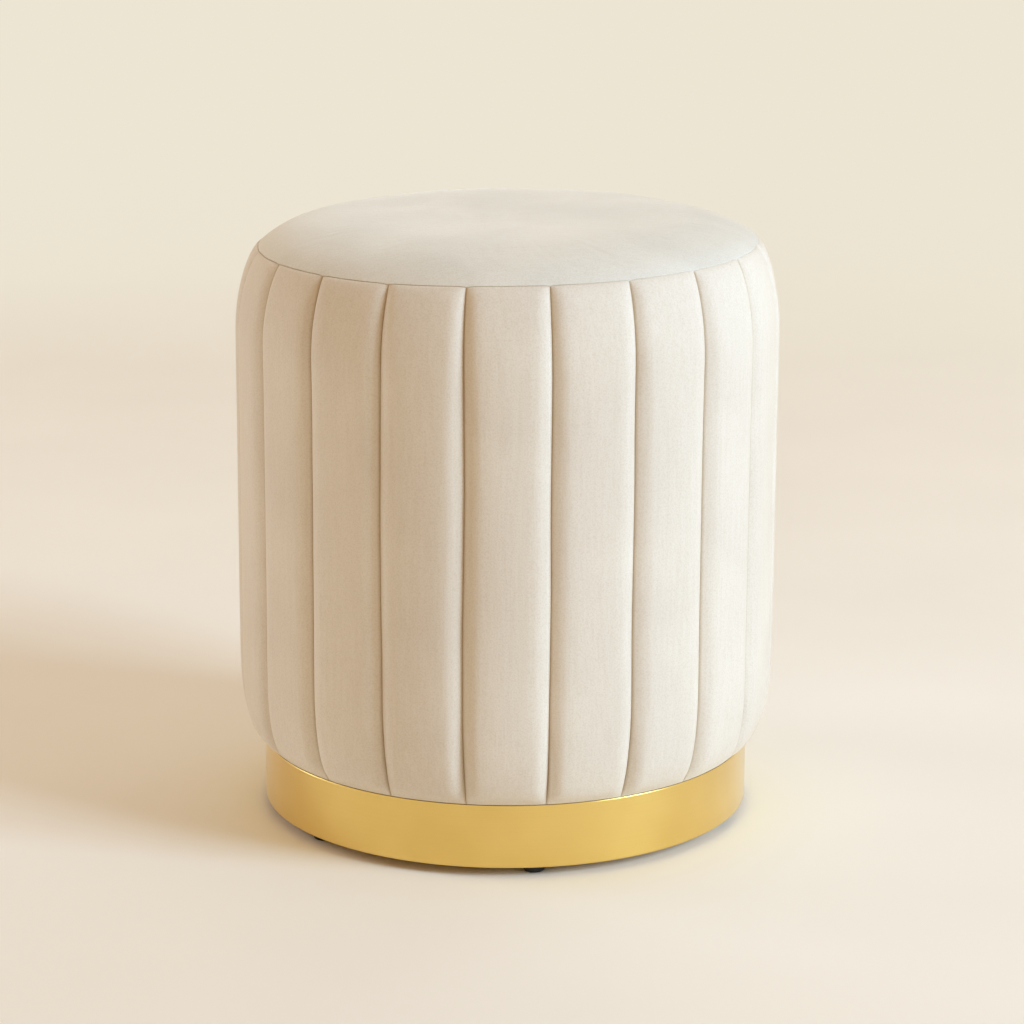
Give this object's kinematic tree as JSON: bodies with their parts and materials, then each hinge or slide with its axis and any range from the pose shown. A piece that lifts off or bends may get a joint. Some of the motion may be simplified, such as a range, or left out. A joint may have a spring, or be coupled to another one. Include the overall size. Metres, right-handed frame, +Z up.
{
  "type": "round upholstered stool",
  "caption": "Round upholstered stool with vertical velvet channels, a crowned seat and a smooth metal-faced plinth.",
  "frame": {"origin": "on the floor under the middle of the seat", "axes": "+Z up from the floor to the seat, -Y towards the front as pictured, +X to the right of the picture"},
  "size_m": [0.3978, 0.3978, 0.445],
  "materials": {
    "velvet": "ivory velvet, short pile",
    "gold_band": "satin brushed gold",
    "glide_plastic": "matt black",
    "dust_felt": "black non-woven felt",
    "plywood": "sanded, unfinished",
    "softwood": "planed, unfinished",
    "hardboard": "smooth face",
    "bolt_steel": "zinc plated",
    "nail_steel": "plain wire",
    "pad_foam": "open-cell polyurethane foam",
    "seat_foam": "open-cell polyurethane foam, firm"
  },
  "bodies": {
    "root": {"base_board": "plywood", "bolt_nuts": "bolt_steel", "channel_pad_1": "pad_foam", "channel_pad_10": "pad_foam", "channel_pad_11": "pad_foam", "channel_pad_12": "pad_foam", "channel_pad_13": "pad_foam", "channel_pad_14": "pad_foam", "channel_pad_15": "pad_foam", "channel_pad_16": "pad_foam", "channel_pad_17": "pad_foam", "channel_pad_18": "pad_foam", "channel_pad_19": "pad_foam", "channel_pad_2": "pad_foam", "channel_pad_20": "pad_foam", "channel_pad_3": "pad_foam", "channel_pad_4": "pad_foam", "channel_pad_5": "pad_foam", "channel_pad_6": "pad_foam", "channel_pad_7": "pad_foam", "channel_pad_8": "pad_foam", "channel_pad_9": "pad_foam", "drum_wrap": "hardboard", "dust_cover": "dust_felt", "frame_nails": "nail_steel", "glides": "glide_plastic", "plinth_band": "gold_band", "plinth_block_1": "softwood", "plinth_block_2": "softwood", "plinth_block_3": "softwood", "plinth_block_4": "softwood", "plinth_block_5": "softwood", "plinth_block_6": "softwood", "plinth_bolts": "bolt_steel", "plinth_lower_ring": "plywood", "plinth_nails": "nail_steel", "plinth_upper_ring": "plywood", "post_1": "softwood", "post_2": "softwood", "post_3": "softwood", "post_4": "softwood", "post_5": "softwood", "post_6": "softwood", "seat_foam": "seat_foam", "side_cover": "velvet", "top_board": "plywood", "top_cover": "velvet"}
  },
  "joints": []
}
